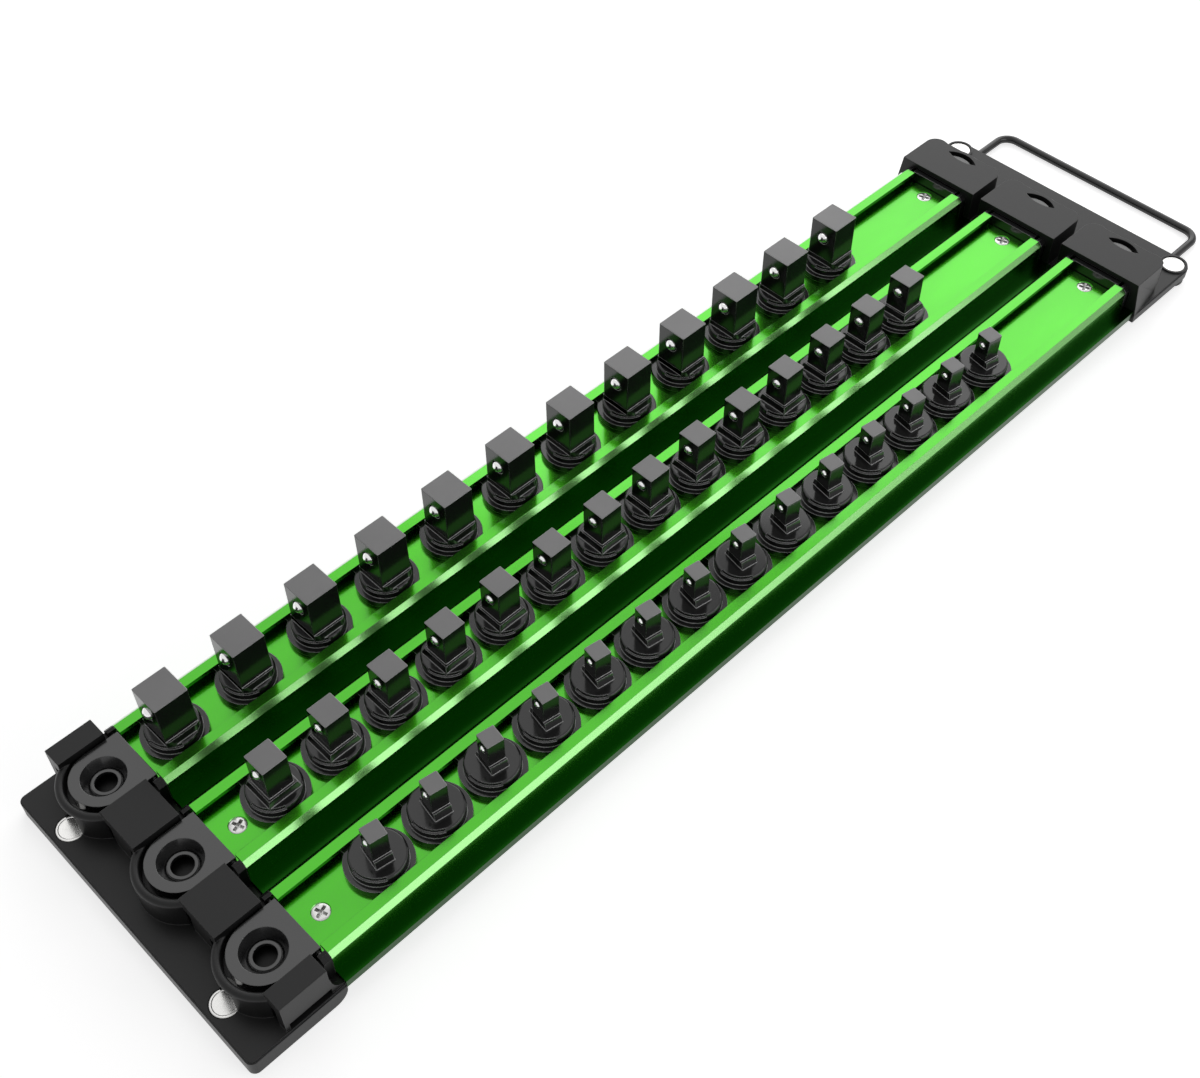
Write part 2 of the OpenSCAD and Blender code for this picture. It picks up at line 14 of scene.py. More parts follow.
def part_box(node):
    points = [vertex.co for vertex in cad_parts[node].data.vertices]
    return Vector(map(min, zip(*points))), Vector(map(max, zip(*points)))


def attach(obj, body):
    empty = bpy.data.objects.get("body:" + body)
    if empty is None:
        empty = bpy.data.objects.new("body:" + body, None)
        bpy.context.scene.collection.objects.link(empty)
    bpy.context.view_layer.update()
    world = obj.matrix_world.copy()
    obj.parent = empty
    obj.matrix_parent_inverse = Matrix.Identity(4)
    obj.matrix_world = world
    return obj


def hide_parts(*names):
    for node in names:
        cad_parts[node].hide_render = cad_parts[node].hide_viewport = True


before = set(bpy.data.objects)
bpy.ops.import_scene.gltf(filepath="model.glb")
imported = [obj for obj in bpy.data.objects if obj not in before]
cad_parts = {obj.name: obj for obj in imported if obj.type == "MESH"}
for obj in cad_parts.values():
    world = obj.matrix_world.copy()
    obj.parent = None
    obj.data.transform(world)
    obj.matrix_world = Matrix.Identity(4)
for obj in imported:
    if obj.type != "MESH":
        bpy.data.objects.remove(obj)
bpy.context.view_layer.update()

MM = 0.001

# The body that the fixed pieces ride on
ROOT = "tray"

# Camera of the photograph, in the CAD's frame; its place and its clipping are in metres
CAMERA_PLACE = Vector((-311.3, -257.5, 451.9)) * MM
CAMERA_AZIMUTH = -44.57
CAMERA_ELEVATION = 50.11
CAMERA_ROLL = -0.2
CAMERA_LENS = 48.13
CAMERA_SENSOR = 36
CAMERA_CLIP = (0.01, 20)

# Lamps, in metres and watts
LAMPS = {
    "key": dict(place=(0.72, 0.5, 0.5), target=(0.05, 0, 0), size=(1.2, 0.8), watts=4.4),
    "top": dict(place=(0.1, 0.5, 1.2), target=(0, 0, 0), size=(1.0, 1.0), watts=1.6),
    "strip": dict(place=(0.35, -0.85, 0.5), target=(0, 0, 0), size=(1.0, 0.25), watts=2.0),
}

# The world's strength as light, in reflections and to the camera. Its own colour is 0.8 grey, so
# 1.25 is white.
FILL_STRENGTH = 0.2
MIRRORED_STRENGTH = 1.0
SEEN_STRENGTH = 1.25

# The floor: half its side in metres, its speckle, its two greys, and the glow that makes it white
# to the camera
FLOOR_HALF = 4
FLOOR_SPECKLE = dict(Scale=40.0, Detail=4.0)
FLOOR_DARK = (0.79, 0.79, 0.79)
FLOOR_LIGHT = (0.82, 0.82, 0.82)
FLOOR_GLOW = 0.72

# What every finish shares: its grain and the mottle of its colour, where on the noise the dark
# and the light colour stand, its least roughness, its bumps, its clear coat and its index of
# refraction
GRAIN_NOISE = dict(Detail=3.0, Roughness=0.6)
MOTTLE_NOISE = dict(Detail=4.0, Roughness=0.55)
MOTTLE_SIZE = 22
RAMP_PLACES = (0.3, 0.7)
LEAST_ROUGHNESS = 0.02
BUMP_STRENGTH = 0.35
BUMP_HEIGHT = 0.02
BEVEL_SAMPLES = 6
COAT_ROUGHNESS = 0.1
IOR = 1.5

# The cosine between a face and its rounded edge where the painted edge highlight starts and where
# it is full, and how much of the colour a highlighted edge keeps
EDGE_HIGHLIGHT_STARTS = 0.97
EDGE_HIGHLIGHT_FULL = 0.72
HIGHLIGHT_KEEPS_SHARE = 0.8

# The product of a normal's Y and Z where the painted chamfer highlight starts and where it is
# full;
# it is 0.5 on a slope of 45 degrees
CHAMFER_HIGHLIGHT_STARTS = 0.3
CHAMFER_HIGHLIGHT_FULL = 0.45

# Grain that is stretched along X
BRUSHED = (0.35, 1, 1)
BRUSHED_WIRE = (0.3, 1, 1)

# Meshes: how near a lathe's points are joined and how short its edges may be, the same for both
# in a finished mesh, the angle over which an edge is rounded and the one over which it stays
# sharp, and the steps and profile of a rounding
LATHE_WELD = 1e-5
LATHE_SLIVER = 1e-6
SLIVER = 1e-4
ROUNDED_ANGLE = 35
SHARP_ANGLE = 32
ROUND_STEPS = 2
ROUND_PROFILE = 0.5

# Measures of the clips, as in the CAD
CHANNEL_DEPTH = 4.4
SHOULDER_RISE = 1.8
SHOULDER_TOP = CHANNEL_DEPTH + SHOULDER_RISE
SHOULDER_R = 9.3
FLANGE_R = 11.2
FLANGE_THICKNESS = 2.5
EAR_REACH = 13.45
EAR_HALF = 6.5

# Each row of clips: its stud's side and height, its foot's height, its ball's radius and depth
# below the top, the faces that show a ball, and its turn
CLIP_ROWS = {
    "half_inch": dict(side=12.5, height=20.8, foot=2.2, ball_r=2.4, ball_drop=7, faces=[-1],
                      turn=0),
    "three_eighths": dict(side=9.4, height=18.1, foot=2.4, ball_r=1.75, ball_drop=5.5,
                          faces=[-1, 1], turn=0),
    "quarter": dict(side=6.4, height=15.1, foot=3.0, ball_r=1.2, ball_drop=4, faces=[-1],
                    turn=-9.1),
}

# Details of the clips: how far the stud and its foot reach down into the shoulder, where the
# shoulder starts inside the flange, the roundings, the foot's flare at its bottom and top, its gap
# to the shoulder's rim, and the steps of the outlines
STUD_ROOT = 1
STUD_ROUND = 0.3
SHOULDER_LOW = 1
SHOULDER_ROUND = 0.9
FOOT_ROOT = 0.5
FOOT_FLARE_LOW = 1.7
FOOT_FLARE_HIGH = 0.8
FOOT_RIM_GAP = 0.3
FOOT_STEPS = 12
FLANGE_STEPS = 40
EAR_STEPS = 14
CLIP_EDGE = 0.08

# The notch in the shoulder's rim, a little shallower than the CAD's and turned a little from it,
# so that its edges cross the rim's own edges without slivers, and its cutter's excess outside
NOTCH_DEPTH = 0.75
NOTCH_HEIGHT = 1.3
NOTCH_START = 181.9
NOTCH_SWEEP = 75
NOTCH_STEPS = 20
NOTCH_OUTSIDE = 1
NOTCH_CUTTER_HEIGHT = 3

# A detent ball's socket, with its cutter's length as a share of the ball's radius, how far the
# ball's middle is sunk in the stud as such a share, and the ball's mesh
SOCKET_GAP = 0.3
SOCKET_SIDES = 40
SOCKET_LENGTH_SHARE = 3
BALL_SUNK_SHARE = 0.4
BALL_SEGMENTS = 40
BALL_RINGS = 24

# The matte top of a stud, painted a much lighter grey as painted light for the sheen it catches:
# how far below the highest point, and how level, its faces may be
TOP_BAND = 0.02
TOP_LEVEL = 0.9

# Rail screws: their places from the rail's ends, how far their heads lie below the channel floor
# so that no clip meets them, and the (radius, height) points of the head's edge
NEAR_SCREW_INSET = 7.6
FAR_SCREW_INSET = 5.2
SCREW_SINK = 0.08
SCREW_HEAD_R = 3.1
SCREW_SHANK_R = 1.25
SCREW_LENGTH = 4.6
SCREW_SIDES = 64
SCREW_EDGE = 0.06
HEAD_CHAMFER = [(SCREW_HEAD_R - 0.35, 0), (SCREW_HEAD_R - 0.1, -0.15)]

# The screws' thread: its roots' and its tip's radius as shares of the shank's, and the height
# from a crest to the root below it
THREAD_TURNS = 7
THREAD_ROOT_SHARE = 0.8
TIP_SHARE = 0.6
THREAD_FLANK = 0.18

# The screws' cross recess: half the length and width of its wings at their floor and above the
# head, where their cutter ends
WING_LOW = (1.4, 0.3)
WING_HIGH = (2.3, 0.55)
WING_DEPTH = 1.5
WING_ABOVE = 0.3
WING_ANGLES = (20, 110)

# Magnets: the rounding of their edges, the dish's rim and floor as shares of the radius, and its
# depth at the floor's edge and in the middle
MAGNET_ROUND = 0.35
MAGNET_SIDES = 80
MAGNET_ROUND_STEPS = 4
DISH_RIM_SHARE = 0.84
DISH_FLOOR_SHARE = 0.8
DISH_EDGE_DEPTH = 0.15
DISH_MIDDLE_DEPTH = 0.1


# Materials

def empty_tree(owner):
    """Clears the nodes of a material or world, and gives a short way to add new ones."""
    owner.use_nodes = True
    tree = owner.node_tree
    tree.nodes.clear()

    def add(kind, settings=None, *ordered, **named):
        """Adds a node; its inputs are values or links, in their order or by name."""
        node = tree.nodes.new("ShaderNode" + kind)
        for key, value in (settings or {}).items():
            setattr(node, key, value)
        inputs = dict(enumerate(ordered))
        inputs.update((key.replace("_", " "), value) for key, value in named.items())
        for key, value in inputs.items():
            if isinstance(value, bpy.types.NodeSocket):
                tree.links.new(value, node.inputs[key])
            else:
                node.inputs[key].default_value = value
        return node

    return add


def two_tone(add, factor, dark, light):
    """A colour between a dark and a light one, as a noise says."""
    node = add("ValToRGB", Fac=factor)
    for element, place, colour in zip(node.color_ramp.elements, RAMP_PLACES, (dark, light)):
        element.position = place
        element.color = (*colour, 1)
    return node.outputs["Color"]


def mixed(add, share, base, colour):
    """Mixes a colour into what comes before it."""
    node = add("Mix", {"data_type": "RGBA"}, Factor=share, A=base, B=(*colour, 1))
    return node.outputs["Result"]


def slope_highlight(add, base, colour):
    """Mixes a colour in where the surface leans about as much sideways as up or down; used as a
    painted highlight on the rails' chamfers.
    """
    parts = add("SeparateXYZ", None, add("NewGeometry").outputs["Normal"])
    product = add("Math", {"operation": "MULTIPLY"}, parts.outputs["Y"], parts.outputs["Z"])
    size = add("Math", {"operation": "ABSOLUTE"}, product.outputs[0])
    share = add("MapRange", Value=size.outputs[0], From_Min=CHAMFER_HIGHLIGHT_STARTS,
                From_Max=CHAMFER_HIGHLIGHT_FULL)
    return mixed(add, share.outputs["Result"], base, colour)


def surface(name, colour, roughness, metallic=0.0, grain=1.0, grain_size=0.35, mottle=0.06,
            stretch=(1, 1, 1), edge_radius=0.25, edge_highlight=0.0, coat=0.0,
            roughness_spread=0.05, specular=0.5, chamfer_highlight=None, highlight_gain=0.12):
    """A moulded, cast or machined finish: mottled colour, fine grain, rounded edges with a painted
    highlight.

    The chamfer colour is a painted highlight, a paler colour on slopes that run along X such as a
    rail's chamfers, standing for their bright reflection; the highlight gain is what the painted
    highlight on rounded edges adds in brightness.
    """
    material = bpy.data.materials.new(name)
    add = empty_tree(material)
    place = add("TexCoord").outputs["Object"]
    seed = add("ObjectInfo").outputs["Random"]
    shifted = add("VectorMath", {"operation": "ADD"}, place, seed)
    where = add("Mapping", Vector=shifted.outputs[0], Scale=stretch).outputs["Vector"]

    fine = add("TexNoise", Vector=where, Scale=1 / (grain_size * MM), **GRAIN_NOISE)
    broad = add("TexNoise", Vector=where, Scale=1 / (MOTTLE_SIZE * MM), **MOTTLE_NOISE)

    dark = tuple(c * (1 - mottle) for c in colour)
    light = tuple(min(1, c * (1 + mottle)) for c in colour)
    base = two_tone(add, broad.outputs["Fac"], dark, light)
    # Painted highlight: slopes along X get a paler colour for the bright reflection on the
    # chamfers
    if chamfer_highlight:
        base = slope_highlight(add, base, chamfer_highlight)

    spread = add("MapRange", Value=fine.outputs["Fac"],
                 To_Min=max(LEAST_ROUGHNESS, roughness - roughness_spread),
                 To_Max=roughness + roughness_spread)

    rounded = add("Bevel", {"samples": BEVEL_SAMPLES}, Radius=edge_radius * MM)
    # Painted highlight: rounded edges are mixed towards a lighter colour for the light lines that
    # edges catch
    if edge_highlight:
        flat = add("NewGeometry").outputs["Normal"]
        turned = add("VectorMath", {"operation": "DOT_PRODUCT"}, rounded.outputs["Normal"], flat)
        edge = add("MapRange", Value=turned.outputs["Value"], From_Min=EDGE_HIGHLIGHT_STARTS,
                   From_Max=EDGE_HIGHLIGHT_FULL, To_Max=edge_highlight)
        highlight_colour = tuple(min(1, c * HIGHLIGHT_KEEPS_SHARE + highlight_gain) for c in colour)
        base = mixed(add, edge.outputs["Result"], base, highlight_colour)

    bump = add("Bump", Strength=BUMP_STRENGTH * grain, Distance=BUMP_HEIGHT * MM,
               Height=fine.outputs["Fac"], Normal=rounded.outputs["Normal"])
    shader = add("BsdfPrincipled", Base_Color=base, Metallic=metallic,
                 Roughness=spread.outputs["Result"], Normal=bump.outputs["Normal"], IOR=IOR,
                 Specular_IOR_Level=specular, Coat_Weight=coat, Coat_Roughness=COAT_ROUGHNESS)
    add("OutputMaterial", Surface=shader.outputs["BSDF"])
    return material


def seen_by_eye_or_gloss(add):
    """1 for camera, glossy and transmission rays, 0 for the rays that light the object."""
    path = add("LightPath").outputs
    seen = path["Is Camera Ray"]
    for kind in ("Is Glossy Ray", "Is Transmission Ray"):
        seen = add("Math", {"operation": "MAXIMUM"}, seen, path[kind]).outputs[0]
    return seen


def floor_material():
    """Pale floor that glows to the camera and in reflections, and keeps the object's shadow."""
    material = bpy.data.materials.new("pale_floor")
    add = empty_tree(material)
    speckle = add("TexNoise", **FLOOR_SPECKLE)
    tint = two_tone(add, speckle.outputs["Fac"], FLOOR_DARK, FLOOR_LIGHT)
    lit = add("BsdfDiffuse", Color=tint).outputs[0]
    glow = add("Emission", Strength=FLOOR_GLOW).outputs[0]
    both = add("AddShader", None, lit, glow).outputs[0]
    mix = add("MixShader", None, seen_by_eye_or_gloss(add), lit, both)
    add("OutputMaterial", Surface=mix.outputs[0])
    return material


# Objects and meshes

def linked(name, data):
    """A new object in the scene."""
    item = bpy.data.objects.new(name, data)
    bpy.context.scene.collection.objects.link(item)
    return item


def as_mesh(bm, name):
    """A mesh made from a bmesh, which is freed."""
    mesh = bpy.data.meshes.new(name)
    bm.to_mesh(mesh)
    bm.free()
    return mesh


def applied(work):
    """The mesh of a work object with its modifiers applied."""
    bpy.context.view_layer.update()
    graph = bpy.context.evaluated_depsgraph_get()
    return bpy.data.meshes.new_from_object(work.evaluated_get(graph))


def discard(work):
    """Removes a work object and its mesh."""
    mesh = work.data
    bpy.data.objects.remove(work)
    bpy.data.meshes.remove(mesh)


def coated(mesh, *materials):
    """A mesh with its materials."""
    for material in materials:
        mesh.materials.append(material)
    return mesh


def smooth_mesh(bm):
    """A mesh in metres, smooth but for its sharp edges, with flat faces kept flat."""
    bmesh.ops.remove_doubles(bm, verts=bm.verts, dist=SLIVER)
    bmesh.ops.dissolve_degenerate(bm, edges=bm.edges, dist=SLIVER)
    bmesh.ops.scale(bm, vec=(MM, MM, MM), verts=bm.verts)
    for face in bm.faces:
        face.smooth = True
    for line in bm.edges:
        if line.calc_face_angle(0) > math.radians(SHARP_ANGLE):
            line.smooth = False
    work = linked("work", as_mesh(bm, "work"))
    weighted = work.modifiers.new("flat", "WEIGHTED_NORMAL")
    weighted.keep_sharp = True
    mesh = applied(work)
    discard(work)
    return mesh


def drawn(shape):
    """A work object made by a function that draws into a bmesh."""
    bm = bmesh.new()
    shape(bm)
    return linked("work", as_mesh(bm, "work"))


def finished(shapes, cuts=(), edge=0.0):
    """One smooth mesh, in metres, of several solids with rounded edges, the first of them cut."""
    cutters = [drawn(cut) for cut in cuts]
    bodies = [drawn(shape) for shape in shapes]
    for cutter in cutters:
        boolean = bodies[0].modifiers.new("cut", "BOOLEAN")
        boolean.operation = "DIFFERENCE"
        boolean.object = cutter
        boolean.solver = "EXACT"
    done = bmesh.new()
    for work in bodies:
        if edge:
            bevel = work.modifiers.new("edge", "BEVEL")
            bevel.width = edge
            bevel.segments = ROUND_STEPS
            bevel.limit_method = "ANGLE"
            bevel.angle_limit = math.radians(ROUNDED_ANGLE)
        made = applied(work)
        done.from_mesh(made)
        bpy.data.meshes.remove(made)
    for work in bodies + cutters:
        discard(work)
    return smooth_mesh(done)


def joined(meshes):
    """One mesh of several finished ones."""
    bm = bmesh.new()
    for mesh in meshes:
        bm.from_mesh(mesh)
        bpy.data.meshes.remove(mesh)
    return as_mesh(bm, "joined")


# Shapes

def about_z(degrees):
    """A turn about Z."""
    return Matrix.Rotation(math.radians(degrees), 3, "Z")


def turned(shape, degrees):
    """A drawing function whose solid is turned about Z."""
    def draw(bm):
        shape(bm)
        bmesh.ops.rotate(bm, cent=(0, 0, 0), matrix=about_z(degrees), verts=bm.verts)
    return draw


def arc(centre, radius, start, end, steps=5):
    """Points of a round stretch of an outline."""
    angles = [math.radians(start + (end - start) * i / steps) for i in range(steps + 1)]
    return [(centre[0] + radius * math.cos(a), centre[1] + radius * math.sin(a)) for a in angles]


def rectangle(half_x, half_y):
    """Corners of a rectangle, as (x, y) points."""
    return [(half_x, -half_y), (half_x, half_y), (-half_x, half_y), (-half_x, -half_y)]


def lathe(bm, profile, segments=96, first=0.0, sweep=360.0):
    """Turns a profile of (radius, height) points about Z into a closed solid."""
    closed = sweep >= 360
    count = segments if closed else segments + 1
    rings = []
    for i in range(count):
        a = math.radians(first + sweep * i / segments)
        rings.append([bm.verts.new((r * math.cos(a), r * math.sin(a), z)) for r, z in profile])
    for i in range(segments):
        here, there = rings[i], rings[(i + 1) % count]
        for j in range(len(profile) - 1):
            bm.faces.new((here[j], there[j], there[j + 1], here[j + 1]))
        if not closed:
            bm.faces.new((here[-1], there[-1], there[0], here[0]))
    if not closed:
        bm.faces.new(rings[0])
        bm.faces.new(rings[-1][::-1])
    bmesh.ops.remove_doubles(bm, verts=bm.verts, dist=LATHE_WELD)
    bmesh.ops.dissolve_degenerate(bm, edges=bm.edges, dist=LATHE_SLIVER)
    bmesh.ops.recalc_face_normals(bm, faces=bm.faces)


def prism(bm, outline, low, high, top=None):
    """A solid between two heights, from an outline of (x, y) points to a like one above it."""
    under = [bm.verts.new((x, y, low)) for x, y in outline]
    over = [bm.verts.new((x, y, high)) for x, y in (top or outline)]
    bm.faces.new(under[::-1])
    bm.faces.new(over)
    for i in range(len(under)):
        j = (i + 1) % len(under)
        bm.faces.new((under[i], under[j], over[j], over[i]))


def flange_outline():
    """Round foot flange with two ears, as (x, y) points."""
    ear_tip = math.degrees(math.acos(EAR_HALF / EAR_REACH))
    ear_root = math.degrees(math.acos(EAR_HALF / FLANGE_R))
    right = arc((0, 0), FLANGE_R, -ear_root, ear_root, FLANGE_STEPS)
    left = arc((0, 0), FLANGE_R, 180 - ear_root, 180 + ear_root, FLANGE_STEPS)
    back = arc((0, 0), EAR_REACH, ear_tip, 180 - ear_tip, EAR_STEPS)
    front = arc((0, 0), EAR_REACH, 180 + ear_tip, 360 - ear_tip, EAR_STEPS)
    return right + back + left + front


def foot_outline(half, flare, four_sided):
    """Outline of a clip's foot, held inside the round shoulder, as (x, y) points."""
    reach = half + flare
    limit = SHOULDER_R - FOOT_RIM_GAP
    wide = reach if four_sided else half
    front = []
    for i in range(FOOT_STEPS + 1):
        x = wide * (2 * i / FOOT_STEPS - 1)
        front.append((x, -min(reach, math.sqrt(limit ** 2 - x ** 2))))
    return front + [(-x, -y) for x, y in front]


def clip_mesh(side, height, foot, ball_r, ball_drop, faces, turn):
    """The moulded body of a clip: flange, shoulder, flared foot and stud with ball sockets."""
    top = CHANNEL_DEPTH + height
    half = side / 2

    def stud(bm):
        prism(bm, rectangle(half, half), SHOULDER_TOP - STUD_ROOT, top)
        upright = [line for line in bm.edges if line.verts[0].co.z != line.verts[1].co.z]
        bmesh.ops.bevel(bm, geom=upright, offset=STUD_ROUND, segments=ROUND_STEPS,
                        profile=ROUND_PROFILE, affect="EDGES")

    def socket(face):
        def cut(bm):
            radius = ball_r + SOCKET_GAP
            matrix = (Matrix.Translation((face * half, 0, top - ball_drop))
                      @ Matrix.Rotation(math.radians(90), 4, "Y"))
            bmesh.ops.create_cone(bm, cap_ends=True, segments=SOCKET_SIDES, radius1=radius,
                                  radius2=radius, depth=SOCKET_LENGTH_SHARE * ball_r,
                                  matrix=matrix)
        return cut

    def flange(bm):
        prism(bm, flange_outline(), 0, FLANGE_THICKNESS)

    def shoulder(bm):
        rim = arc((SHOULDER_R - SHOULDER_ROUND, SHOULDER_TOP - SHOULDER_ROUND), SHOULDER_ROUND,
                  0, 90)
        lathe(bm, [(0, SHOULDER_LOW), (SHOULDER_R, SHOULDER_LOW)] + rim + [(0, SHOULDER_TOP)])

    def notch(bm):
        inner = SHOULDER_R - NOTCH_DEPTH
        outer = SHOULDER_R + NOTCH_OUTSIDE
        low = SHOULDER_TOP - NOTCH_HEIGHT
        high = low + NOTCH_CUTTER_HEIGHT
        lathe(bm, [(inner, low), (outer, low), (outer, high), (inner, high)], NOTCH_STEPS,
              NOTCH_START, NOTCH_SWEEP)

    def flared_foot(bm):
        wide = len(faces) > 1
        prism(bm, foot_outline(half, FOOT_FLARE_LOW, wide), SHOULDER_TOP - FOOT_ROOT,
              SHOULDER_TOP + foot, foot_outline(half, FOOT_FLARE_HIGH, wide))

    upper = finished([turned(stud, turn), flange, turned(flared_foot, turn)],
                     [turned(socket(face), turn) for face in faces], CLIP_EDGE)
    lower = finished([turned(shoulder, turn)], [turned(notch, turn)], CLIP_EDGE)
    return joined([upper, lower])


def ball_mesh(radius):
    """A detent ball."""
    bm = bmesh.new()
    bmesh.ops.create_uvsphere(bm, u_segments=BALL_SEGMENTS, v_segments=BALL_RINGS, radius=radius)
    return smooth_mesh(bm)


def screw_mesh():
    """Countersunk screw with a tapered cross recess, its head's face at the origin."""
    cone = SCREW_HEAD_R - SCREW_SHANK_R
    pitch = (SCREW_LENGTH - cone) / THREAD_TURNS

    def body(bm):
        thread = []
        for i in range(THREAD_TURNS):
            z = -cone - i * pitch
            thread += [(SCREW_SHANK_R, z), (SCREW_SHANK_R * THREAD_ROOT_SHARE, z - THREAD_FLANK)]
        tip = [(SCREW_SHANK_R * TIP_SHARE, -SCREW_LENGTH), (0, -SCREW_LENGTH)]
        lathe(bm, [(0, 0)] + HEAD_CHAMFER + thread + tip, SCREW_SIDES)

    def wing(bm):
        prism(bm, rectangle(*WING_LOW), -WING_DEPTH, WING_ABOVE, rectangle(*WING_HIGH))

    return finished([body], [turned(wing, angle) for angle in WING_ANGLES], SCREW_EDGE)


def magnet_mesh(radius, height):
    """A disc with rounded edges and a shallow dish inside its rim, standing on the origin."""
    def body(bm):
        inner = radius - MAGNET_ROUND
        foot = arc((inner, MAGNET_ROUND), MAGNET_ROUND, -90, 0, MAGNET_ROUND_STEPS)
        corner = arc((inner, height - MAGNET_ROUND), MAGNET_ROUND, 0, 90, MAGNET_ROUND_STEPS)
        dish = [(radius * DISH_RIM_SHARE, height),
                (radius * DISH_FLOOR_SHARE, height - DISH_EDGE_DEPTH),
                (0, height - DISH_MIDDLE_DEPTH)]
        lathe(bm, [(0, 0)] + foot + corner + dish, MAGNET_SIDES)
    return finished([body])


# Pieces

def new_piece(name, mesh, body, where):
    """Places a finished mesh on its body; the place is in metres."""
    piece = linked(name, mesh)
    piece.matrix_world = Matrix.Translation(where)
    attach(piece, body)
    return piece


def dress(node, material):
    """Gives a CAD node its finish."""
    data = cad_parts[node].data
    data.materials.clear()
    data.materials.append(material)


def middle(node):
    """The middle of a CAD node's box."""
    low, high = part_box(node)
    return (low + high) / 2


def paint_light_on_top(mesh):
    """Gives the faces on a stud's top the mesh's second material, a much lighter grey that is
    painted light for the sheen on the tops.
    """
    top = max(vertex.co.z for vertex in mesh.vertices)
    for face in mesh.polygons:
        if face.center.z > top - TOP_BAND * MM and face.normal.z > TOP_LEVEL:
            face.material_index = 1


def make_clips(row, spec, plastic, lit_top, chrome):
    """Every clip of a row, and the detent balls that ride on it."""
    body = coated(clip_mesh(**spec), plastic, lit_top)
    paint_light_on_top(body)
    ball = coated(ball_mesh(spec["ball_r"]), chrome)
    channel_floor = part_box("rail_" + row)[1].z - CHANNEL_DEPTH * MM
    reach = spec["side"] / 2 - spec["ball_r"] * BALL_SUNK_SHARE
    ball_z = CHANNEL_DEPTH + spec["height"] - spec["ball_drop"]
    for name in sorted(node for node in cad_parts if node.startswith("clip_" + row)):
        centre = middle(name)
        centre.z = channel_floor
        piece = new_piece(name + "_body", body, name, centre)
        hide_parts(name)
        for side, face in zip(("near", "far"), spec["faces"]):
            offset = Vector((face * reach, 0, ball_z)) * MM
            offset.rotate(about_z(spec["turn"]))
            new_piece(f"{name}_ball_{side}", ball, name, centre + offset)


def make_screws(zinc):
    """Six cross-head screws in the channel floors."""
    screw = coated(screw_mesh(), zinc)
    for row in CLIP_ROWS:
        low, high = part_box("rail_" + row)
        y = (low.y + high.y) / 2
        z = high.z - (CHANNEL_DEPTH + SCREW_SINK) * MM
        for end, x in (("near", low.x + NEAR_SCREW_INSET * MM),
                       ("far", high.x - FAR_SCREW_INSET * MM)):
            new_piece(f"rail_screw_{row}_{end}", screw, ROOT,
                                    (x, y, z))
    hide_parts("rail_screws")


def make_magnets(nickel):
    """Two magnets in each tray."""
    for end in ("near", "far"):
        low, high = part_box(end + "_magnets")
        radius = (high.x - low.x) / 2
        disc = coated(magnet_mesh(radius / MM, (high.z - low.z) / MM), nickel)
        x = (low.x + high.x) / 2
        pieces = [new_piece(f"{end}_magnet_{side}", disc, ROOT, (x, y, low.z))
                  for side, y in (("left", high.y - radius), ("right", low.y + radius))]
        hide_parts(end + "_magnets")


# Stage

def make_camera():
    """The photograph's camera."""
    azimuth, elevation, roll = map(math.radians, (CAMERA_AZIMUTH, CAMERA_ELEVATION, CAMERA_ROLL))
    forward = Vector((-math.sin(azimuth) * math.cos(elevation),
                      math.cos(azimuth) * math.cos(elevation), -math.sin(elevation)))
    right = forward.cross(Vector((0, 0, 1))).normalized()
    up = right.cross(forward)
    right, up = (math.cos(roll) * right + math.sin(roll) * up,
                 math.cos(roll) * up - math.sin(roll) * right)
    data = bpy.data.cameras.new("camera")
    data.lens = CAMERA_LENS
    data.sensor_width = CAMERA_SENSOR
    data.sensor_fit = "HORIZONTAL"
    data.clip_start, data.clip_end = CAMERA_CLIP
    camera = linked("camera", data)
    axes = Matrix((right, up, -forward)).transposed().to_4x4()
    camera.matrix_world = Matrix.Translation(CAMERA_PLACE) @ axes
    bpy.context.scene.camera = camera


def softbox(name, place, target, size, watts):
    """A rectangular lamp that faces its target."""
    data = bpy.data.lights.new(name, "AREA")
    data.shape = "RECTANGLE"
    data.size, data.size_y = size
    data.energy = watts
    lamp = linked(name, data)
    lamp.location = place
    lamp.rotation_mode = "QUATERNION"
    lamp.rotation_quaternion = (Vector(target) - Vector(place)).to_track_quat("-Z", "Y")


def make_world():
    """White to the camera, pale in reflections, and a plain soft fill for everything else."""
    world = bpy.data.worlds.new("studio")
    add = empty_tree(world)
    level = add("MapRange", Value=seen_by_eye_or_gloss(add), To_Min=FILL_STRENGTH,
                To_Max=MIRRORED_STRENGTH)
    shown = add("MapRange", Value=add("LightPath").outputs["Is Camera Ray"],
                To_Min=level.outputs["Result"], To_Max=SEEN_STRENGTH)
    background = add("Background", Strength=shown.outputs["Result"])
    add("OutputWorld", Surface=background.outputs[0])
    bpy.context.scene.world = world


def make_floor():
    """The floor that the tray lies on."""
    bm = bmesh.new()
    bmesh.ops.create_grid(bm, x_segments=1, y_segments=1, size=FLOOR_HALF)
    floor = linked("floor", coated(as_mesh(bm, "floor"), floor_material()))


make_camera()
make_world()
for name, lamp in LAMPS.items():
    softbox(name, **lamp)
make_floor()
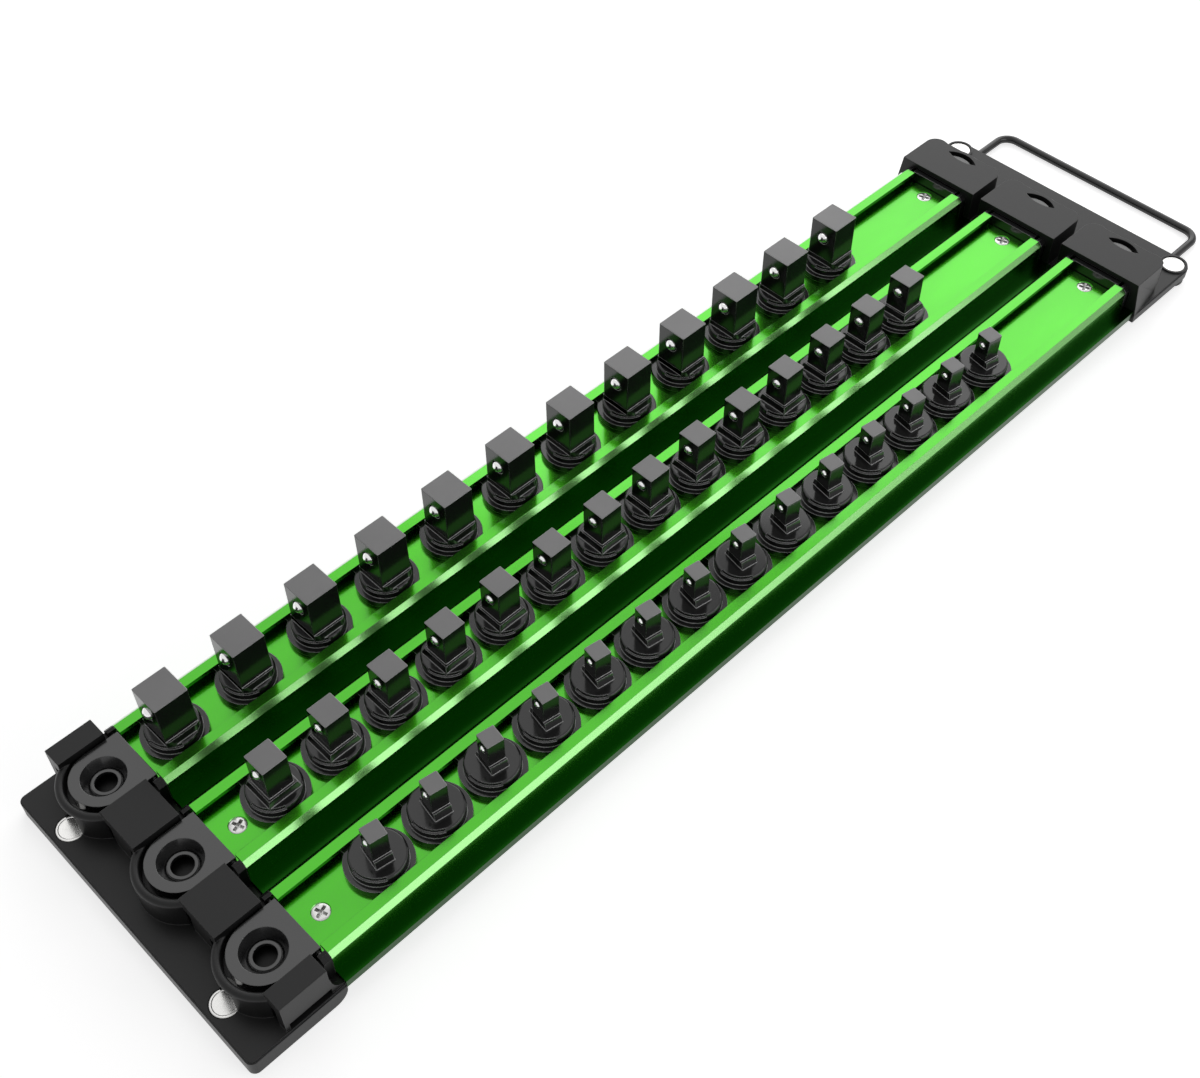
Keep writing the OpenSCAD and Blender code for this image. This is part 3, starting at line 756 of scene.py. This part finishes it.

# The rails' chamfers carry a painted highlight, a paler green
anodised = surface("green_anodised_aluminium", (0.045, 0.37, 0.005), 0.22, metallic=1.0, grain=0.8,
                   grain_size=0.25, stretch=BRUSHED, edge_radius=0.2, edge_highlight=0.25,
                   coat=0.78, mottle=0.07, chamfer_highlight=(0.15, 0.38, 0.11))
dark_green = surface("dark_green_anodised_base", (0.006, 0.055, 0.004), 0.2, metallic=1.0,
                     grain=0.5, stretch=BRUSHED, edge_radius=0.3, mottle=0.1)
# The edge settings below paint light lines on the edges as highlights, strongest on the clips
moulded = surface("moulded_black_plastic", (0.009, 0.009, 0.0092), 0.4, grain_size=0.4,
                  edge_radius=0.35, edge_highlight=1.0, specular=0.32, highlight_gain=0.11)
fitting = surface("fitting_plastic", (0.011, 0.011, 0.0115), 0.2, grain=0.7, edge_radius=0.35,
                  edge_highlight=1.0, specular=0.85, highlight_gain=0.14)
# Painted shade: the near fittings are the same plastic as the others, made darker and less glossy
# so that their deep holes look black
near_fitting = surface("near_fitting_painted_shade", (0.005, 0.005, 0.005), 0.4, grain=0.7,
                       edge_radius=0.35, edge_highlight=1.0, specular=0.2, highlight_gain=0.2)
clip_plastic = surface("clip_plastic", (0.016, 0.016, 0.016), 0.13, grain=0.4, grain_size=0.3,
                       edge_radius=0.5, edge_highlight=1.0, highlight_gain=0.95)
# Painted light: the stud tops are the same black plastic made matte, painted a much lighter grey
# for the sheen they catch
clip_top = surface("clip_top_painted_light", (0.27, 0.267, 0.27), 0.4, grain_size=0.3,
                   edge_radius=0.45, edge_highlight=1.0, highlight_gain=0.9)
chrome = surface("chrome_ball", (0.95, 0.95, 0.95), 0.2, metallic=1.0, grain=0.1,
                 roughness_spread=0.03, mottle=0.03)
nickel = surface("nickel_magnet", (0.7, 0.695, 0.68), 0.26, metallic=1.0, grain=0.6,
                 roughness_spread=0.08, mottle=0.12)
zinc = surface("zinc_screw", (0.6, 0.6, 0.59), 0.26, metallic=1.0, grain=0.5,
               roughness_spread=0.08, mottle=0.08, edge_highlight=0.3)
black_steel = surface("black_steel_screw", (0.05, 0.05, 0.05), 0.35, metallic=0.6)
wire = surface("black_wire", (0.004, 0.004, 0.004), 0.24, grain=0.8, stretch=BRUSHED_WIRE,
               mottle=0.12)

for row in CLIP_ROWS:
    dress("rail_" + row, anodised)
    dress("near_fitting_" + row, near_fitting)
    dress("far_fitting_" + row, fitting)
    dress("release_tongue_" + row, fitting)
dress("base_plate", dark_green)
dress("near_end_tray", moulded)
dress("far_end_tray", moulded)
dress("handle", wire)
dress("tray_screws", black_steel)

for row, spec in CLIP_ROWS.items():
    make_clips(row, spec, clip_plastic, clip_top, chrome)
make_screws(zinc)
make_magnets(nickel)

bpy.context.scene.view_settings.view_transform = "Standard"
